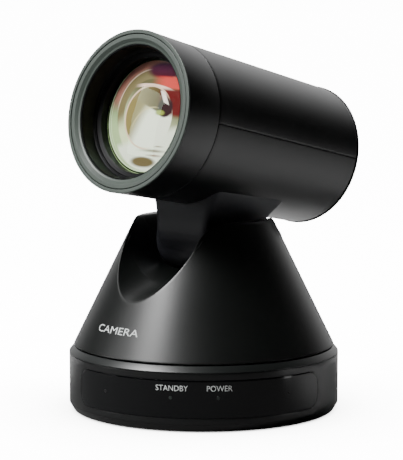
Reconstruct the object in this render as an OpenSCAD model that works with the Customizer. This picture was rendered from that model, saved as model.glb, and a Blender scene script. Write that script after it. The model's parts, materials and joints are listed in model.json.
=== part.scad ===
// Pan-tilt-zoom room camera: a round base, a conical turntable with a saddle
// notch, and a cylindrical zoom head carried on a neck that tilts in the notch.
// Millimetres, +Z up. The origin is on the pan axis at the underside of the base,
// and the status window of the base faces -Y.

/* [Pose] */
// Pan angle of the turntable, counter-clockwise from above, 0 looks along -Y
pan_angle = -38.8; // [-170:0.1:170]
// Tilt angle of the head, positive lifts the lens
tilt_angle = 12.6; // [-30:0.1:30]

/* [Base] */
// Radius of the base wall
base_r = 59.2; // [58.5:0.1:61]
// Height of the lower chamfered rim
rim_h = 3.5; // [2.5:0.1:4.5]
// Height of the seam between the base wall and its cover
wall_top = 25.4; // [24.5:0.1:26.5]
// Height of the flat top of the cover
cover_top = 28.2; // [27.8:0.1:28.4]
// Thickness of the moulded walls
wall = 2.2; // [1.8:0.1:2.6]

/* [Window] */
// Lower edge of the status window
window_z0 = 6.4; // [5.5:0.1:8]
// Upper edge of the status window
window_z1 = 22.4; // [20:0.1:23.2]
// Half of the angle that the window covers
window_half_angle = 59; // [45:1:65]
// Corner radius of the window
window_corner_r = 6.4; // [3:0.1:6.9]
// Angle of each microphone from the front
mic_angle = 41; // [30:1:48]
// Angle of each status light from the front
led_angle = 9.8; // [5:0.1:20]

/* [Turntable] */
// Height of the lower edge of the cone
cone_z0 = 28.95; // [28.7:0.05:29.4]
// Outer radius of the cone at its lower edge
cone_r0 = 57.1; // [56:0.1:57.4]
// Height of the tops of the two ears
cone_z1 = 84.4; // [82:0.1:85]
// Radius that the cone loses for each millimetre of height
cone_slope = 0.489; // [0.48:0.001:0.495]
// Half of the width of the saddle notch
notch_r = 20; // [19:0.1:20.5]
// Height of the axis of the notch where it crosses the pan axis
notch_axis_z = 87.8; // [87:0.1:89]
// Fall of the notch for each millimetre outwards
notch_fall = 0.33; // [0.3:0.01:0.36]

/* [Tilt pivot] */
// Height of the tilt axis
pivot_z = 75; // [74:0.1:76]
// Radius of the drum at the foot of the neck
drum_r = 14.2; // [13:0.1:14.4]
// Half of the length of the drum
drum_half = 15.5; // [14:0.1:15.8]
// Distance from the tilt axis up to the axis of the head
neck_rise = 46.4; // [46:0.1:47.5]

/* [Head] */
// Distance from the neck to the front face of the head
head_front = 59.3; // [58:0.1:60]
// Distance from the neck to the seam behind the front sleeve
sleeve_seam = 38.9; // [36:0.1:40]
// Distance from the neck to the seam of the rear cap
shell_rear = 58.5; // [57:0.1:60]
// Radius of the front rim
rim_r = 35; // [34.6:0.1:35.2]
// Radius at the sleeve seam
seam_r = 34.2; // [33.8:0.1:34.4]
// Radius at the rear cap
rear_r = 31.3; // [31:0.1:32]
// Thickness of the head's shells
head_wall = 2; // [1.6:0.1:2.2]

/* [Optics] */
// Radius of the front glass
glass_r = 24.9; // [24:0.1:25]
// Distance from the neck to the edge of the front glass
glass_s = 45.5; // [44:0.1:46.5]
// Outer radius of the lens barrel
barrel_r = 27.2; // [26.6:0.1:27.4]

/* [Hidden] */
$fn = 96;

// Small clearances
running = 0.05;
seam = 0.15;

// Heights in the base
plate_z = 0.6;
floor_z = 3.5;
board_z = 8.6;
board_t = 1.6;
foot_r = 5;
foot_ring_r = 42;
board_ring_r = 33;
base_screw_ring_r = 54.6;
insert_r = 4.6;
thread_r = 2.55;
insert_top = 10;
rim_in = 1.7;

// Pan axis hardware
post_r = 12;
post_bore_r = 8;
post_top = 39.4;
bearing_r = 16;
bearing_z0 = 29.4;
bearing_z1 = 33.6;
deck_z0 = 29.6;
deck_z1 = 32;
deck_r = 53.6;
gear_mod = 1;
sun_teeth = 40;
pinion_teeth = 12;
sun_pitch_r = gear_mod * sun_teeth / 2;
pinion_pitch_r = gear_mod * pinion_teeth / 2;
gear_z0 = 34.8;
gear_z1 = 38.4;
pan_motor_a = sun_pitch_r + pinion_pitch_r;
pan_motor_dir = 135;
pan_motor_r = 9;
pan_motor_z0 = 40.4;
pan_motor_z1 = 54;
motor_shaft_r = 1.5;

// Tilt axis hardware
shaft_r = 4;
yoke_in = 22;
yoke_out = 24.2;
yoke_half = 9;
tilt_bearing_r = 7;
tilt_pulley_r = 6.4;
motor_pulley_r = 3.2;
tilt_motor_z = 49.6;
tilt_motor_r = 9;
belt_t = 0.9;
belt_l0 = 24.7;
belt_l1 = 26.7;

// Rear sockets
panel_y = 45;
panel_half = 34;
panel_z0 = 6;
panel_z1 = 22.4;
panel_t = 1.2;
port_z = 14;

// Optics, measured along the head from the neck, positive to the front
hood_s0 = 50;
lip_s = 57.7;
zoom_s = 12;
focus_s = -16;
sensor_s = -34;
guide_r = 19.5;
guide_rod_r = 1;
barrel_rear_s = -30;

// ---- Helpers ----

// Outer radius of the cone at a height
function cone_r(z) = cone_r0 - (z - cone_z0) * cone_slope;

// Outer radius of the head at a distance along it
function head_r(s) = s > sleeve_seam
    ? seam_r + (rim_r - seam_r) * (s - sleeve_seam) / (head_front - sleeve_seam)
    : rear_r + (seam_r - rear_r) * (s + shell_rear) / (sleeve_seam + shell_rear);

// Places a child that is drawn at pan 0
module panned() {
    rotate([0, 0, pan_angle]) children();
}

// Places a child that is drawn about the tilt axis: X across, -Y to the lens
module tilted() {
    panned() translate([0, 0, pivot_z]) rotate([-tilt_angle, 0, 0]) children();
}

// Places a child that is drawn along +Z on the head's axis, +Z to the lens
module headed() {
    tilted() translate([0, 0, neck_rise]) rotate([90, 0, 0]) children();
}

// Cylinder along X from x0 to x1 through the local origin
module x_rod(x0, x1, r) {
    translate([x0, 0, 0]) rotate([0, 90, 0]) cylinder(r = r, h = x1 - x0);
}

// Tube along +Z from z0 to z1
module tube(z0, z1, r_out, r_in) {
    translate([0, 0, z0]) difference() {
        cylinder(r = r_out, h = z1 - z0);
        translate([0, 0, -1]) cylinder(r = r_in, h = z1 - z0 + 2);
    }
}

// Spur gear outline with straight-flanked teeth
module gear_outline(teeth, pitch_r) {
    tip = 0.28;
    flank = 0.46;
    add = 0.8 * gear_mod;
    ded = 1.15 * gear_mod;
    step = 360 / teeth;
    half_tip = tip * step / 2 * 0.9;
    half_root = flank * step / 2 * 1.45;
    polygon([for (i = [0 : teeth - 1]) for (k = [0 : 3])
        let (a = i * step + [-half_root, -half_tip, half_tip, half_root][k],
             r = pitch_r + [-ded, add, add, -ded][k])
        [r * cos(a), r * sin(a)]]);
}

// Points of a belt's outline around two pulleys, the upper one at y = span
function belt_outline(r_low, r_high, span) =
    let (lean = asin((r_high - r_low) / span))
    concat(
        [for (a = [-lean : 6 : 180 + lean]) [r_high * cos(a), span + r_high * sin(a)]],
        [for (a = [180 + lean : 6 : 360 - lean]) [r_low * cos(a), r_low * sin(a)]]
    );

// ---- Base ----

module base_plate() {
    color("dimgray") difference() {
        union() {
            rotate_extrude() polygon([
                [0, plate_z], [base_r - rim_in, plate_z], [base_r, rim_h],
                [base_r - wall, rim_h], [base_r - wall - 2, floor_z], [0, floor_z]
            ]);
            for (a = [45 : 90 : 315]) rotate(a) translate([board_ring_r, 0, plate_z])
                cylinder(r = 3, h = board_z - plate_z);
            cylinder(r = insert_r + 2, h = insert_top);
        }
        translate([0, 0, -1]) cylinder(r = insert_r, h = insert_top + 2);
        for (a = [0 : 90 : 270]) rotate(a)
            translate([foot_ring_r, 0, -1]) cylinder(r = foot_r, h = 2.6);
        at_base_screws() {
            translate([0, 0, -1]) cylinder(r = 1.7, h = 6);
            translate([0, 0, -1]) cylinder(r = 2.9, h = 3);
        }
        for (a = [45 : 90 : 315]) rotate(a) translate([board_ring_r, 0, floor_z])
            cylinder(r = 1.1, h = 8);
    }
}

module rubber_feet() {
    color("black") for (a = [0 : 90 : 270]) rotate(a) translate([foot_ring_r, 0, 0])
        cylinder(r = foot_r, h = 1.6);
}

module tripod_insert() {
    color("goldenrod") difference() {
        cylinder(r = insert_r, h = insert_top);
        translate([0, 0, -1]) cylinder(r = thread_r, h = insert_top - 0.5);
    }
}

// Repeats a child at the screws that hold the base shell
module at_base_screws() {
    for (a = [-67.5, 45, 135, 247.5]) rotate(a)
        translate([base_screw_ring_r, 0, 0]) children();
}

module base_screws() {
    color("silver") at_base_screws() difference() {
        union() {
            translate([0, 0, 0.8]) cylinder(r = 2.8, h = 1.2);
            translate([0, 0, 1.9]) cylinder(r = 1.5, h = 7);
        }
        translate([0, 0, 0.6]) cylinder(r = 1.3, h = 1, $fn = 6);
    }
}

// Outline of the window seen from the front, its round corners laid on the curved wall
function window_outline(grow) =
    let (r = window_corner_r + grow,
         reach = base_r * window_half_angle * PI / 180 + grow,
         z0 = window_z0 - grow,
         z1 = window_z1 + grow)
    [for (q = [[1, 1, 0], [-1, 1, 90], [-1, -1, 180], [1, -1, 270]]) for (a = [0 : 15 : 90])
        let (s = q[0] * (reach - r) + r * cos(a + q[2]),
             z = (q[1] > 0 ? z1 - r : z0 + r) + r * sin(a + q[2]))
        [base_r * sin(s / base_r * 180 / PI), z]];

// Block through the wall with the outline of the window, grown by a seam
module window_stencil(grow) {
    rotate([90, 0, 0]) translate([0, 0, 10]) linear_extrude(60) polygon(window_outline(grow));
}

module base_shell() {
    color("dimgray") difference() {
        union() {
            tube(rim_h, wall_top, base_r, base_r - wall);
            at_base_screws() translate([0, 0, rim_h]) cylinder(r = 2.9, h = 6);
        }
        window_stencil(seam);
        translate([-panel_half - panel_t, panel_y - panel_t, panel_z0 - panel_t])
            cube([2 * (panel_half + panel_t), 30, panel_z1 - panel_z0 + 2 * panel_t]);
        at_base_screws() translate([0, 0, rim_h - 1]) cylinder(r = 1.5, h = 10);
    }
}

module base_cover() {
    lip = 2.1;
    color("gray") rotate_extrude() polygon([
        [bearing_r + 2, wall_top], [base_r, wall_top], [base_r - lip, cover_top],
        [base_r - lip - 1.2, cover_top], [base_r - lip - 2.2, cover_top - 1],
        [bearing_r + 2, cover_top - 1]
    ]);
}

module status_window() {
    color("black") difference() {
        intersection() {
            tube(rim_h, wall_top, base_r, base_r - wall);
            window_stencil(0);
        }
        for (a = [-mic_angle, mic_angle]) rotate(a) translate([0, 0, port_z + 1])
            rotate([90, 0, 0]) cylinder(r = 0.65, h = base_r + 4);
    }
}

module status_lights() {
    color("lime") for (a = [-led_angle, led_angle]) rotate(a) translate([0, 0, port_z + 1])
        rotate([90, 0, 0]) translate([0, 0, base_r - 7]) cylinder(r = 1.5, h = 4.4);
}

module ir_receiver() {
    color("black") translate([0, 0, port_z + 1]) rotate([90, 0, 0]) {
        translate([0, 0, base_r - 8]) cylinder(r = 2, h = 5.2);
        translate([-3, -3, base_r - 11]) cube([6, 6, 3]);
    }
}

module microphones() {
    color("silver") for (a = [-mic_angle, mic_angle]) rotate(a) translate([0, 0, port_z + 1])
        rotate([90, 0, 0]) translate([0, 0, base_r - 6.6]) cylinder(r = 3, h = 4);
}

module main_board() {
    color("darkgreen") difference() {
        translate([0, 0, board_z]) cylinder(r = 47, h = board_t);
        translate([0, 0, board_z - 1]) cylinder(r = 21, h = 4);
        for (a = [45 : 90 : 315]) rotate(a) translate([board_ring_r, 0, 0]) cylinder(r = 1.4, h = 20);
        translate([-60, panel_y - 15, 0]) cube([120, 40, 30]);
    }
}

module board_screws() {
    color("silver") for (a = [45 : 90 : 315]) rotate(a) translate([board_ring_r, 0, 0]) {
        translate([0, 0, board_z + board_t]) cylinder(r = 2.2, h = 1.3);
        translate([0, 0, floor_z]) cylinder(r = 1.1, h = board_z + board_t - floor_z);
    }
}

module connector_panel() {
    color("dimgray") difference() {
        intersection() {
            translate([-panel_half - panel_t, panel_y - panel_t, panel_z0 - panel_t])
                cube([2 * (panel_half + panel_t), 30, panel_z1 - panel_z0 + 2 * panel_t]);
            cylinder(r = base_r - 0.8, h = 40);
        }
        translate([-panel_half, panel_y, panel_z0]) cube([2 * panel_half, 30, panel_z1 - panel_z0]);
        port_cut(-27, 9.2, 9.2);
        port_cut(-13.5, 15.9, 13.2);
        port_cut(2, 12, 10.8);
        port_cut(16.5, 14.8, 6);
        port_cut(28.6, 7.9, 7.9);
    }
}

// Opening in the panel around one socket
module port_cut(x, w, h) {
    translate([x - w / 2, panel_y - panel_t - 1, port_z - h / 2]) cube([w, panel_t + 2, h]);
}

// Block of a socket behind and through the panel
module socket_block(x, w, h, depth) {
    translate([x - w / 2, panel_y - depth, port_z - h / 2]) cube([w, depth + 0.5, h]);
}

// Space inside a socket, open to the rear of the camera
module socket_space(x, z, w, h, depth) {
    translate([x - w / 2, panel_y + 1 - depth, z - h / 2]) cube([w, depth, h]);
}

module dc_socket() {
    color("black") difference() {
        socket_block(-27, 9, 9, 11);
        translate([-27, panel_y + 1, port_z]) rotate([90, 0, 0]) cylinder(r = 2.8, h = 9.5);
    }
}

module lan_socket() {
    color("silver") difference() {
        socket_block(-13.5, 15.7, 13, 14);
        socket_space(-13.5, port_z - 0.8, 11.8, 8.2, 11);
        socket_space(-13.5, port_z - 4.6, 6, 2.6, 11);
    }
}

module usb_socket() {
    color("silver") difference() {
        socket_block(2, 11.8, 10.6, 14);
        socket_space(2, port_z, 8.6, 8, 10);
    }
}

module hdmi_socket() {
    color("silver") difference() {
        socket_block(16.5, 14.6, 5.8, 12);
        socket_space(16.5, port_z, 13.6, 4.6, 10);
    }
}

module control_sockets() {
    color("black") difference() {
        socket_block(28.6, 7.7, 7.7, 11);
        translate([28.6, panel_y + 1, port_z]) rotate([90, 0, 0]) cylinder(r = 3.3, h = 8);
    }
}

module pan_post() {
    color("silver") difference() {
        union() {
            translate([0, 0, insert_top + 0.5]) cylinder(r = post_r, h = post_top - insert_top - 0.5);
            tube(floor_z, insert_top + 0.5, post_r, 9);
            tube(floor_z, floor_z + 2, 19, 9);
        }
        translate([0, 0, insert_top]) cylinder(r = post_bore_r, h = 40);
    }
}

module pan_gear() {
    color("white") difference() {
        translate([0, 0, gear_z0]) linear_extrude(gear_z1 - gear_z0)
            gear_outline(sun_teeth, sun_pitch_r);
        translate([0, 0, gear_z0 - 1]) cylinder(r = post_r, h = 8);
    }
}

// ---- Turntable ----

module pan_bearing() {
    color("silver") panned() difference() {
        tube(bearing_z0, bearing_z1, bearing_r, post_r + running);
        tube(bearing_z1 - 0.4, bearing_z1 + 1, bearing_r - 1.2, post_r + 1.2);
    }
}

module turntable_deck() {
    color("silver") panned() difference() {
        translate([0, 0, deck_z0]) cylinder(r = deck_r, h = deck_z1 - deck_z0);
        translate([0, 0, deck_z0 - 1]) cylinder(r = bearing_r, h = 6);
        for (x = [-28, 28]) for (y = [-5, 5]) translate([x, y, deck_z0 - 1])
            cylinder(r = 1.25, h = 6);
    }
}

// Space of the notch, grown by a wall
module notch_space(grow) {
    lean = atan(notch_fall);
    for (side = [0, 1]) rotate(side * 180) intersection() {
        union() {
            translate([0, 0, notch_axis_z]) rotate([90 + lean, 0, 0])
                translate([0, 0, -30]) cylinder(r = notch_r + grow, h = 130);
            translate([0, 0, notch_axis_z]) rotate([90 + lean, 0, 0])
                translate([-notch_r - grow, 0, -30]) cube([2 * (notch_r + grow), 60, 130]);
        }
        translate([-60, -90, 0]) cube([120, 90, 140]);
    }
}

// One half of the cone's shell, side 1 in front and -1 behind
module cone_half(side) {
    liner = 1.8;
    panned() difference() {
        union() {
            rotate_extrude() polygon([
                [cone_r0 - wall, cone_z0], [cone_r0, cone_z0],
                [cone_r(cone_z1), cone_z1], [cone_r(cone_z1) - wall, cone_z1]
            ]);
            intersection() {
                rotate_extrude() polygon([
                    [0, 40], [cone_r(40), 40], [cone_r(cone_z1), cone_z1], [0, cone_z1]
                ]);
                union() {
                    notch_space(liner);
                    translate([0, 0, cone_z1 - liner]) cylinder(r = 40, h = liner + 1);
                }
            }
        }
        notch_space(0);
        translate([0, 0, pivot_z]) x_rod(-drum_half - 0.6, drum_half + 0.6, drum_r + 0.5);
        translate([0, 0, pivot_z]) x_rod(-yoke_in, yoke_in, shaft_r + 1);
        for (x = [-1, 1]) translate([x * (yoke_in + 1.2) - 1.6, -yoke_half - 0.5, 40])
            cube([3.2, 2 * yoke_half + 1, cone_z1 - 42]);
        translate([-80, side > 0 ? 0 : -80, 0]) cube([160, 80, 120]);
    }
}

module cone_front() {
    color("dimgray") cone_half(1);
}

module cone_rear() {
    color("dimgray") cone_half(-1);
}

// Upright of the yoke at one side: -1 left, 1 right
module yoke_upright(side) {
    x0 = side > 0 ? yoke_in : -yoke_out;
    t = yoke_out - yoke_in;
    difference() {
        union() {
            translate([x0, -yoke_half, deck_z1]) cube([t, 2 * yoke_half, pivot_z - deck_z1]);
            translate([0, 0, pivot_z]) x_rod(x0, x0 + t, yoke_half - 1);
            translate([side > 0 ? x0 : x0 - 8, -yoke_half, deck_z1]) cube([t + 8, 2 * yoke_half, 2]);
        }
        translate([0, 0, pivot_z]) x_rod(x0 - 1, x0 + t + 1, tilt_bearing_r);
        translate([0, 0, tilt_motor_z]) x_rod(x0 - 1, x0 + t + 1, 2.4);
        for (y = [-5, 5]) translate([side * 28, y, deck_z1 - 1]) cylinder(r = 1.25, h = 4);
    }
}

module yoke_left() {
    color("silver") panned() yoke_upright(-1);
}

module yoke_right() {
    color("silver") panned() yoke_upright(1);
}

module yoke_screws() {
    color("gray") panned() for (x = [-28, 28]) for (y = [-5, 5]) translate([x, y, 0]) {
        translate([0, 0, deck_z1 + 2]) cylinder(r = 2.2, h = 1.6);
        translate([0, 0, deck_z0 + 0.1]) cylinder(r = 1.25, h = deck_z1 + 2 - deck_z0 - 0.1);
    }
}

module tilt_bearings() {
    color("silver") panned() translate([0, 0, pivot_z]) for (side = [-1, 1]) difference() {
        x_rod(side > 0 ? yoke_in : -yoke_out, side > 0 ? yoke_out : -yoke_in, tilt_bearing_r);
        x_rod(-40, 40, shaft_r + running);
    }
}

// Places a child on the axis of the pan motor
module at_pan_motor() {
    panned() rotate(pan_motor_dir) translate([pan_motor_a, 0, 0]) children();
}

module motor_bracket() {
    color("silver") at_pan_motor() {
        difference() {
            translate([0, 0, pan_motor_z0 - 1.2]) cylinder(r = 9.6, h = 1.2);
            translate([0, 0, pan_motor_z0 - 3]) cylinder(r = 3, h = 6);
        }
        for (a = [-50, 50]) rotate(a) translate([8.4, 0, deck_z1])
            cylinder(r = 1.2, h = pan_motor_z0 - 1.2 - deck_z1);
    }
}

module pan_motor() {
    color("gray") at_pan_motor() difference() {
        union() {
            translate([0, 0, pan_motor_z0]) cylinder(r = pan_motor_r, h = pan_motor_z1 - pan_motor_z0);
            translate([0, 0, pan_motor_z1]) cylinder(r = 3, h = 1);
        }
        translate([0, 0, pan_motor_z0 - 1]) cylinder(r = motor_shaft_r + running, h = 5);
    }
}

module pan_pinion() {
    half_step = 180 / pinion_teeth;
    color("white") at_pan_motor() {
        translate([0, 0, gear_z0]) linear_extrude(gear_z1 - gear_z0)
            rotate(180 + half_step + mesh_shift()) gear_outline(pinion_teeth, pinion_pitch_r);
        translate([0, 0, gear_z1 - 0.2]) cylinder(r = motor_shaft_r, h = pan_motor_z0 - gear_z1 + 3);
    }
}

// Turn of the pinion that puts its gap on the tooth of the fixed gear at this pan angle
function mesh_shift() =
    let (step = 360 / sun_teeth,
         line = pan_angle + pan_motor_dir,
         past = line - step * round(line / step))
    past * sun_teeth / pinion_teeth;

module tilt_motor() {
    color("gray") panned() translate([0, 0, tilt_motor_z]) difference() {
        union() {
            x_rod(5, yoke_in, tilt_motor_r);
            x_rod(4, 5, 3);
        }
        x_rod(15, 30, motor_shaft_r + running);
    }
}

module motor_pulley() {
    color("silver") panned() translate([0, 0, tilt_motor_z]) {
        x_rod(belt_l0, belt_l1, motor_pulley_r);
        x_rod(belt_l1 + 0.1, belt_l1 + 0.5, motor_pulley_r + 1);
        x_rod(belt_l0, belt_l1 + 0.5, motor_pulley_r - 1);
        x_rod(16, belt_l0, motor_shaft_r);
    }
}

module tilt_belt() {
    span = pivot_z - tilt_motor_z;
    gap = 0.08;
    color("black") panned() translate([belt_l0, 0, tilt_motor_z]) rotate([90, 0, 90])
        linear_extrude(belt_l1 - belt_l0) difference() {
            polygon(belt_outline(motor_pulley_r + belt_t, tilt_pulley_r + belt_t, span));
            polygon(belt_outline(motor_pulley_r + gap, tilt_pulley_r + gap, span));
        }
}

// ---- Head ----

// Side outline of the neck in the plane of the lens and the upright, lens to +X
function neck_outline() = [
    [13.6, 0], [14.2, 6], [15.6, 12], [17.2, 17], [17.8, 21], [17.8, 34],
    [-28, 34], [-28, 21.5], [-25.4, 19], [-20.4, 13.6], [-16.6, 8], [-14, 1], [-13.6, 0]
];

module neck() {
    color("dimgray") difference() {
        union() {
            tilted() x_rod(-drum_half, drum_half, drum_r);
            tilted() rotate([0, 0, -90]) intersection() {
                rotate([90, 0, 0]) translate([0, 0, -17.2]) linear_extrude(34.4) polygon(neck_outline());
                rotate([90, 0, 90]) translate([0, 0, -40]) linear_extrude(80)
                    polygon([
                        [-14.4, -2], [14.4, -2], [15.6, 8], [17, 13], [17.2, 20], [17.2, 34],
                        [-17.2, 34], [-17.2, 20], [-17, 13], [-15.6, 8]
                    ]);
            }
        }
        headed() translate([0, 0, -70]) cylinder(
            r1 = head_r(-70) + 0.02, r2 = head_r(sleeve_seam) + 0.02, h = 70 + sleeve_seam);
        tilted() x_rod(-40, 40, shaft_r);
    }
}

module tilt_shaft() {
    color("silver") tilted() x_rod(-yoke_out - 0.6, belt_l1 + 0.4, shaft_r);
}

module tilt_pulley() {
    color("gray") tilted() difference() {
        x_rod(belt_l0, belt_l1, tilt_pulley_r);
        x_rod(0, 40, shaft_r);
    }
}

// Half of the tapered shell behind the sleeve: side 1 above, -1 below
module head_half(side) {
    headed() difference() {
        translate([0, 0, -shell_rear]) cylinder(r1 = rear_r, r2 = seam_r, h = shell_rear + sleeve_seam);
        translate([0, 0, -shell_rear - 1]) cylinder(
            r1 = rear_r - head_wall, r2 = seam_r - head_wall, h = shell_rear + sleeve_seam + 2);
        translate([-60, side > 0 ? -60 : 0, -90]) cube([120, 60, 180]);
    }
}

module head_top() {
    color("dimgray") head_half(1);
}

module head_bottom() {
    color("dimgray") head_half(-1);
}

module front_sleeve() {
    color("dimgray") headed() rotate_extrude() polygon([
        [seam_r - head_wall, sleeve_seam], [seam_r, sleeve_seam], [rim_r - 0.1, head_front - 0.6],
        [rim_r - 0.6, head_front], [33.2, head_front], [33.2, head_front - 4], [seam_r - head_wall, sleeve_seam + 8]
    ]);
}

module front_ring() {
    color("slategray") headed() rotate_extrude() polygon([
        [33.1, head_front - 4], [33.1, head_front - 0.3], [32.8, head_front], [31.1, head_front],
        [29.9, head_front - 1.2], [28.9, lip_s], [28.9, head_front - 4]
    ]);
}

module lens_hood() {
    color("black") headed() rotate_extrude() polygon([
        [28.85, lip_s - 0.3], [28.85, head_front - 4], [30.4, head_front - 4.05],
        [30.4, head_front - 5], [28.8, hood_s0 + 1], [28.8, hood_s0], [27.45, hood_s0]
    ]);
}

module retaining_ring() {
    color("black") headed() rotate_extrude() polygon([
        [barrel_r + 1.4, hood_s0 - 2], [barrel_r + 1.4, hood_s0 - 0.05], [barrel_r + 0.2, hood_s0 - 0.05],
        [25, 48.8], [25, glass_s + 0.6], [barrel_r + 1.4 - 0.01, glass_s + 0.6]
    ]);
}

module lens_barrel() {
    color("black") headed() difference() {
        union() {
            translate([0, 0, barrel_rear_s]) cylinder(r = 23.5, h = glass_s + 0.5 - barrel_rear_s);
            translate([0, 0, 26]) cylinder(r = barrel_r + 1.4, h = glass_s + 0.5 - 26);
            translate([0, 0, barrel_rear_s]) cylinder(r = 26, h = 3);
        }
        translate([0, 0, 36]) cylinder(r = glass_r + 0.1, h = 20);
        translate([0, 0, barrel_rear_s + 2]) cylinder(r = 21.6, h = 80);
        translate([0, 0, barrel_rear_s - 1]) cylinder(r = 9, h = 5);
    }
}

// Lens with spherical faces: edge radius, edge heights and the rise of each face
module lens_solid(r, z0, z1, rise0, rise1) {
    steps = 10;
    rotate_extrude() polygon(concat(
        [for (i = [0 : steps]) let (x = r * i / steps) [x, z0 + rise0 * (1 - pow(x / r, 2))]],
        [for (i = [steps : -1 : 0]) let (x = r * i / steps) [x, z1 + rise1 * (1 - pow(x / r, 2))]]
    ));
}

module front_lens() {
    color("palegreen") headed() lens_solid(glass_r, 37, glass_s, 4, 3.2);
}

module fixed_lens() {
    color("lightblue") headed() lens_solid(21.6, 28, 34, -1.5, 2.5);
}

module guide_rods() {
    color("silver") headed() for (a = [90, 270]) rotate(a) translate([guide_r, 0, barrel_rear_s + 2])
        cylinder(r = guide_rod_r, h = 26 - barrel_rear_s - 2);
}

// Ring that holds a lens and slides on the two guide rods
module carrier(s, r_lens, len) {
    headed() difference() {
        union() {
            tube(s - len / 2, s + len / 2, r_lens + 1.4, r_lens);
            for (a = [90, 270]) rotate(a) translate([r_lens + 0.7, -2.4, s - len / 2])
                cube([guide_r + 1.7 - r_lens - 0.7, 4.8, len]);
        }
        for (a = [90, 270]) rotate(a) translate([guide_r, 0, s - len])
            cylinder(r = guide_rod_r + running, h = 2 * len);
    }
}

module zoom_carrier() {
    color("dimgray") carrier(zoom_s, 14, 6);
}

module zoom_lens() {
    color("plum") headed() lens_solid(14, zoom_s - 2, zoom_s + 2, -1, 1.5);
}

module focus_carrier() {
    color("dimgray") carrier(focus_s, 11, 5);
}

module focus_lens() {
    color("lightblue") headed() lens_solid(11, focus_s - 1.5, focus_s + 1.5, -1, 1);
}

// Small stepping motor lying beside the barrel
module side_motor(s, angle) {
    headed() rotate(angle) translate([0, -26.6, s]) {
        cylinder(r = 3, h = 10);
        translate([0, 0, 10]) cylinder(r = 1, h = 6);
    }
}

module zoom_motor() {
    color("gray") side_motor(4, 120);
}

module focus_motor() {
    color("gray") side_motor(-20, -120);
}

module image_sensor() {
    color("darkslategray") headed() translate([-5, -4, sensor_s]) cube([10, 8, 2]);
}

module sensor_board() {
    color("darkgreen") headed() translate([-18, -16, sensor_s - 1.6]) cube([36, 32, 1.6]);
}

module video_board() {
    color("darkgreen") headed() translate([-21, -18, sensor_s - 13]) cube([42, 36, 1.6]);
}

module rear_cap() {
    lip = 0.3;
    color("dimgray") headed() rotate_extrude() polygon([
        [0, -shell_rear - 1.7], [rear_r - 0.9, -shell_rear - 1.7], [rear_r + lip, -shell_rear - 1],
        [rear_r + lip, -shell_rear], [rear_r - head_wall - 0.2, -shell_rear],
        [rear_r - head_wall - 0.2, -shell_rear + 3], [rear_r - head_wall - 1.8, -shell_rear + 3],
        [rear_r - head_wall - 1.8, -shell_rear + 0.4], [0, -shell_rear + 0.4]
    ]);
}

module head_screws() {
    color("silver") headed() for (a = [45 : 90 : 315]) rotate(a)
        translate([24.8, 0, barrel_rear_s - 1.4]) cylinder(r = 1.6, h = 1.4);
}

base_plate();
rubber_feet();
tripod_insert();
base_screws();
base_shell();
base_cover();
status_window();
status_lights();
ir_receiver();
microphones();
main_board();
board_screws();
connector_panel();
dc_socket();
lan_socket();
usb_socket();
hdmi_socket();
control_sockets();
pan_post();
pan_gear();
pan_bearing();
turntable_deck();
cone_front();
cone_rear();
yoke_left();
yoke_right();
yoke_screws();
tilt_bearings();
pan_motor();
motor_bracket();
pan_pinion();
tilt_motor();
tilt_belt();
motor_pulley();
neck();
tilt_shaft();
tilt_pulley();
head_top();
head_bottom();
front_sleeve();
front_ring();
lens_hood();
retaining_ring();
lens_barrel();
front_lens();
fixed_lens();
guide_rods();
zoom_carrier();
zoom_lens();
focus_carrier();
focus_lens();
zoom_motor();
focus_motor();
image_sensor();
sensor_board();
video_board();
rear_cap();
head_screws();
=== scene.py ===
import json
import math

import bmesh
import bpy
import numpy as np
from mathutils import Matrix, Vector


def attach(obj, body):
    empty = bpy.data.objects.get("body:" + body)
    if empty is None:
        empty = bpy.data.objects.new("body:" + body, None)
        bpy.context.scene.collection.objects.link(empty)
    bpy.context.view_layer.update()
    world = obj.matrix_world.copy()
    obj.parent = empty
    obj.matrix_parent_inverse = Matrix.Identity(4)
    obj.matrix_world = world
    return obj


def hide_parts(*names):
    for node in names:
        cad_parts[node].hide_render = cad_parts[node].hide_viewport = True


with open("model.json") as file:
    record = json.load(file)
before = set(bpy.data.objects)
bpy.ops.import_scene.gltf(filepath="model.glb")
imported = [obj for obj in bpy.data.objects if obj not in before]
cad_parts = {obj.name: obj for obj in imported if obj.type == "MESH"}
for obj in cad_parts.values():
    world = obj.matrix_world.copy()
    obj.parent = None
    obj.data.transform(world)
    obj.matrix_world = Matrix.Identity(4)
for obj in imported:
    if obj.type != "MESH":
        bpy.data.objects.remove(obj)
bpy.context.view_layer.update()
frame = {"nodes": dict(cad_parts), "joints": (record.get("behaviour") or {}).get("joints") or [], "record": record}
mm = 0.001

# The joints say where the camera's own axes lie
joints = {j["name"]: j for j in frame["joints"]}
pivot = np.array(joints["tilt"]["pos_m"], float) / mm
across = -np.array(joints["tilt"]["axis"], float)      # towards the right-hand ear, seen from the lens
lensWay = np.array(joints["zoom"]["axis"], float)      # along the head, towards the lens
headUp = np.cross(lensWay, across)
ahead = np.array([across[1], -across[0], 0.0])         # level direction that the cone's front faces

# Sizes in millimetres, as in the part
baseSize = {"radius": 59.2, "rimHeight": 3.5, "wallTop": 25.4, "coverTop": 28.2}
windowSize = {"low": 6.4, "high": 22.4, "halfAngle": 59.0, "corner": 6.4, "gap": 0.15}
coneSize = {"low": 28.95, "radius": 57.1, "top": 84.4, "slope": 0.489}
headSize = {"rise": 46.4, "rear": -58.5, "rearRadius": 31.3, "seam": 38.9, "seamRadius": 34.2}


# ---- Placing ----

# Row-frame metres of points given as (across, up, along) on the head's axis
def onHead(p):
    foot = pivot + headSize["rise"] * headUp
    return (foot + p[..., :1] * across + p[..., 1:2] * headUp + p[..., 2:3] * lensWay) * mm


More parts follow.
